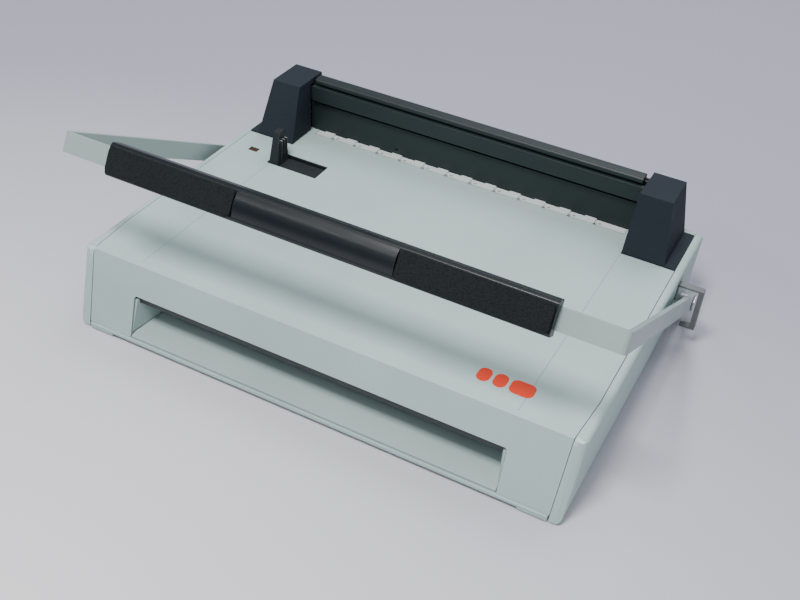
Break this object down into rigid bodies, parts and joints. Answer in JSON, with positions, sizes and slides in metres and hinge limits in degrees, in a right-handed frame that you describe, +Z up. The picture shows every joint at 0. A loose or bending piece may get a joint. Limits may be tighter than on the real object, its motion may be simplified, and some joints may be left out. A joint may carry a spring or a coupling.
{
  "type": "strip binding machine",
  "caption": "Desktop strip binder: a full-width lever punches sheets in the front slot, and a motor-driven press between two towers closes the strip.",
  "frame": {"origin": "on the table under the middle of the machine's overall box", "axes": "+Z up, +Y from the sheet slot to the back, +X to the right seen from the front"},
  "size_m": [0.5, 0.334, 0.1822],
  "materials": {
    "cover_plastic": "fine-textured light grey moulding",
    "side_plastic": "fine-textured light grey moulding",
    "tower_plastic": "fine-textured charcoal moulding",
    "press_paint": "satin dark grey-green",
    "channel_plastic": "satin off-white",
    "black_plastic": "matt black",
    "lens": "smoked amber",
    "lip_plastic": "satin dark grey",
    "strap_paint": "satin light grey enamel",
    "bar_plastic": "satin blue-black",
    "grip_rubber": "pebbled",
    "stirrup_steel": "plated mid grey",
    "tool_steel": "ground",
    "frame_steel": "zinc plated",
    "pin_steel": "polished",
    "nylon": "natural nylon",
    "brass": "turned",
    "motor_can": "zinc plated",
    "board": "solder-masked board",
    "core": "varnished laminations",
    "foot_rubber": "matt",
    "pan_steel": "zinc plated sheet",
    "blade_alloy": "heat-stained"
  },
  "bodies": {
    "root": {"base_pan": "cover_plastic", "body_cover": "cover_plastic", "centre_deck": "cover_plastic", "side_panel_left": "side_plastic", "side_panel_right": "side_plastic", "rear_cover": "cover_plastic", "tower_left": "tower_plastic", "tower_right": "tower_plastic", "top_rail": "press_paint", "back_panel": "press_paint", "strip_channel": "channel_plastic", "guide_pocket": "black_plastic", "indicator_lens": "lens", "slot_tray": "cover_plastic", "throat_lip": "lip_plastic", "slot_cheeks": "cover_plastic", "die_plate": "tool_steel", "stripper_plate": "tool_steel", "frame_plate_left": "frame_steel", "frame_plate_right": "frame_steel", "pivot_studs": "frame_steel", "rack_guides": "nylon", "press_motor": "motor_can", "gearbox": "black_plastic", "lift_bearings": "brass", "control_board": "board", "transformer": "core", "power_inlet": "black_plastic", "feet": "foot_rubber", "cover_screws": "frame_steel", "spring_posts": "frame_steel", "blade_rails": "frame_steel", "return_springs": "pin_steel"},
    "handle": {"handle_strap": "strap_paint", "handle_bar": "bar_plastic", "grip_left": "grip_rubber", "grip_right": "grip_rubber"},
    "punch_drive": {"drive_crossbar": "frame_steel", "drive_pin_left": "stirrup_steel", "stirrup_right": "stirrup_steel"},
    "rockers": {"rocker_left": "frame_steel", "rocker_right": "frame_steel"},
    "punch": {"punch_bar": "tool_steel", "punch_pins": "pin_steel"},
    "press": {"press_jaw": "press_paint", "rack_left": "nylon", "rack_right": "nylon"},
    "lift_drive": {"lift_shaft": "pin_steel", "lift_pinions": "nylon"},
    "side_guide": {"edge_guide": "black_plastic"},
    "chip_drawer": {"chip_tray": "black_plastic"},
    "blade": {"hot_blade": "blade_alloy"},
    "switch": {"power_switch": "black_plastic"}
  },
  "joints": [
    {"name": "handle_swing", "type": "hinge", "parent": "root", "child": "handle", "pos_m": [0, 0.1335, 0.0177], "axis": [1, 0, 0], "range_deg": [0, 22], "stiffness_Nm_per_rad": 6, "springref_deg": -34.38},
    {"name": "drive_slide", "type": "slide", "parent": "root", "child": "punch_drive", "axis": [0, 0, -1], "range_m": [0, 0.0165], "deforming": ["return_springs"]},
    {"name": "rocker_turn", "type": "hinge", "parent": "root", "child": "rockers", "pos_m": [0, -0.0765, 0.05], "axis": [-1, 0, 0], "range_deg": [0, 5.6]},
    {"name": "punch_slide", "type": "slide", "parent": "root", "child": "punch", "axis": [0, 0, -1], "range_m": [0, 0.0044]},
    {"name": "press_slide", "type": "slide", "parent": "root", "child": "press", "axis": [0, 0, -1], "range_m": [0, 0.031]},
    {"name": "lift_turn", "type": "hinge", "parent": "root", "child": "lift_drive", "pos_m": [0, 0.1495, 0.048], "axis": [1, 0, 0], "range_deg": [0, 198]},
    {"name": "guide_slide", "type": "slide", "parent": "root", "child": "side_guide", "axis": [1, 0, 0], "range_m": [0, 0.04]},
    {"name": "tray_slide", "type": "slide", "parent": "root", "child": "chip_drawer", "axis": [-1, 0, 0], "range_m": [0, 0.2]},
    {"name": "blade_slide", "type": "slide", "parent": "root", "child": "blade", "axis": [0, 1, 0], "range_m": [0, 0.008]},
    {"name": "switch_rock", "type": "hinge", "parent": "root", "child": "switch", "pos_m": [-0.1, 0.162, 0.03], "axis": [-1, 0, 0], "range_deg": [0, 8]}
  ],
  "couplings": [
    {"joint": "drive_slide", "follows": "handle_swing", "m_per_rad": 0.042451},
    {"joint": "rocker_turn", "follows": "handle_swing", "ratio": 0.24681},
    {"joint": "punch_slide", "follows": "handle_swing", "m_per_rad": 0.011106},
    {"joint": "lift_turn", "follows": "press_slide", "rad_per_m": 111.11}
  ]
}
